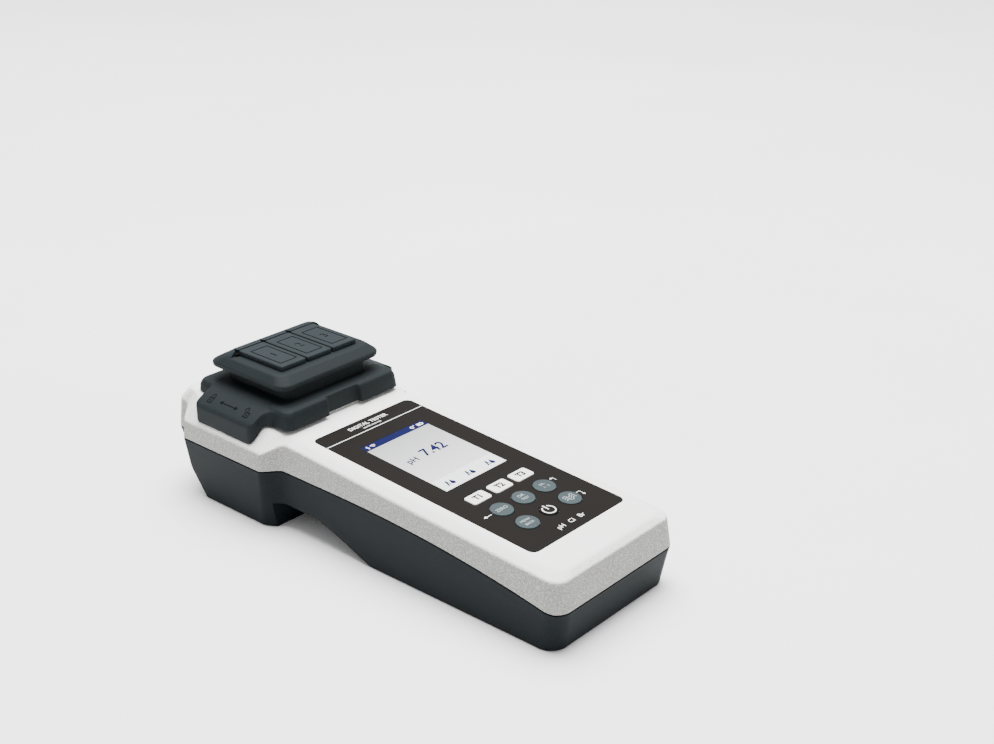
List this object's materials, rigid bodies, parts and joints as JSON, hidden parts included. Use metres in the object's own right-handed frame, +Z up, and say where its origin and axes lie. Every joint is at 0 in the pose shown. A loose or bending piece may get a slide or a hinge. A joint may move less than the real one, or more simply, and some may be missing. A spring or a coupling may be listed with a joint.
{
  "type": "digital water tester",
  "caption": "Handheld pool water photometer with keypad, colour display and a sliding cuvette adapter with hinged light flaps.",
  "frame": {"origin": "bottom centre of the bounding box, on the ground", "axes": "+Y from the handle towards the cuvette adapter, +X to the user's right, +Z up"},
  "size_m": [0.0908, 0.2238, 0.0671],
  "materials": {
    "shell_light": "fine sandy texture",
    "shell_dark": "smooth matt",
    "seal": "matt",
    "overlay": "printed film",
    "lens": "clear",
    "screen": "lit display",
    "board": "solder mask",
    "key_white": "satin",
    "key_grey": "satin",
    "adapter": "fine texture",
    "rubber": "matt",
    "clear": "clear",
    "steel": "plated",
    "cell": "sleeve"
  },
  "bodies": {
    "case": {"bottom_case": "shell_dark", "top_case": "shell_light", "case_seal": "seal", "keypad_overlay": "overlay", "display_window": "lens", "display_module": "screen", "main_board": "board", "battery_door": "shell_dark", "battery_cradle": "shell_dark", "battery_contact_front": "steel", "battery_contact_rear": "steel", "optics_tray": "shell_dark", "lamp_board": "board", "sensor_board": "board", "lock_rail_left": "steel", "lock_rail_right": "steel", "battery_cell_1": "cell", "battery_cell_2": "cell", "battery_cell_3": "cell", "battery_door_screw_1": "steel", "battery_door_screw_2": "steel", "case_screw_1": "steel", "case_screw_2": "steel", "case_screw_3": "steel", "case_screw_4": "steel", "case_screw_5": "steel", "case_screw_6": "steel", "case_screw_7": "steel", "case_screw_8": "steel", "lamp_1": "clear", "lamp_2": "clear", "lamp_3": "clear", "sensor_1": "seal", "sensor_2": "seal", "sensor_3": "seal"},
    "key_function_1": {"key_function_1": "key_white"},
    "key_function_2": {"key_function_2": "key_white"},
    "key_function_3": {"key_function_3": "key_white"},
    "key_round_1": {"key_round_1": "key_grey"},
    "key_round_2": {"key_round_2": "key_grey"},
    "key_round_3": {"key_round_3": "key_grey"},
    "key_round_4": {"key_round_4": "key_grey"},
    "key_round_5": {"key_round_5": "key_grey"},
    "key_power": {"key_power": "overlay"},
    "adapter": {"adapter_base": "adapter", "cap_frame": "adapter", "hinge_strip": "rubber", "lock_hook_left": "steel", "lock_hook_right": "steel", "cuvette_1": "clear", "cuvette_2": "clear", "cuvette_3": "clear"},
    "flap_1": {"flap_1": "rubber"},
    "flap_2": {"flap_2": "rubber"},
    "flap_3": {"flap_3": "rubber"}
  },
  "joints": [
    {"name": "key_function_1_press", "type": "slide", "parent": "case", "child": "key_function_1", "axis": [0, 0.0646, -0.9979], "range_m": [0, 0.0004], "stiffness_N_per_m": 600},
    {"name": "key_function_2_press", "type": "slide", "parent": "case", "child": "key_function_2", "axis": [0, 0.0646, -0.9979], "range_m": [0, 0.0004], "stiffness_N_per_m": 600},
    {"name": "key_function_3_press", "type": "slide", "parent": "case", "child": "key_function_3", "axis": [0, 0.0646, -0.9979], "range_m": [0, 0.0004], "stiffness_N_per_m": 600},
    {"name": "key_round_1_press", "type": "slide", "parent": "case", "child": "key_round_1", "axis": [0, 0.0646, -0.9979], "range_m": [0, 0.0004], "stiffness_N_per_m": 600},
    {"name": "key_round_2_press", "type": "slide", "parent": "case", "child": "key_round_2", "axis": [0, 0.0646, -0.9979], "range_m": [0, 0.0004], "stiffness_N_per_m": 600},
    {"name": "key_round_3_press", "type": "slide", "parent": "case", "child": "key_round_3", "axis": [0, 0.0646, -0.9979], "range_m": [0, 0.0004], "stiffness_N_per_m": 600},
    {"name": "key_round_4_press", "type": "slide", "parent": "case", "child": "key_round_4", "axis": [0, 0.0646, -0.9979], "range_m": [0, 0.0004], "stiffness_N_per_m": 600},
    {"name": "key_round_5_press", "type": "slide", "parent": "case", "child": "key_round_5", "axis": [0, 0.0646, -0.9979], "range_m": [0, 0.0004], "stiffness_N_per_m": 600},
    {"name": "key_power_press", "type": "slide", "parent": "case", "child": "key_power", "axis": [0, 0.0646, -0.9979], "range_m": [0, 0.0004], "stiffness_N_per_m": 600},
    {"name": "adapter_unlock", "type": "slide", "parent": "case", "child": "adapter", "axis": [0, -1, 0], "range_m": [0, 0.0038]},
    {"name": "flap_1_hinge", "type": "hinge", "parent": "adapter", "child": "flap_1", "pos_m": [-0.015, 0.08405, 0.0671], "axis": [-1, 0, 0], "range_deg": [0, 105]},
    {"name": "flap_2_hinge", "type": "hinge", "parent": "adapter", "child": "flap_2", "pos_m": [0, 0.08405, 0.0671], "axis": [-1, 0, 0], "range_deg": [0, 105]},
    {"name": "flap_3_hinge", "type": "hinge", "parent": "adapter", "child": "flap_3", "pos_m": [0.015, 0.08405, 0.0671], "axis": [-1, 0, 0], "range_deg": [0, 105]}
  ]
}
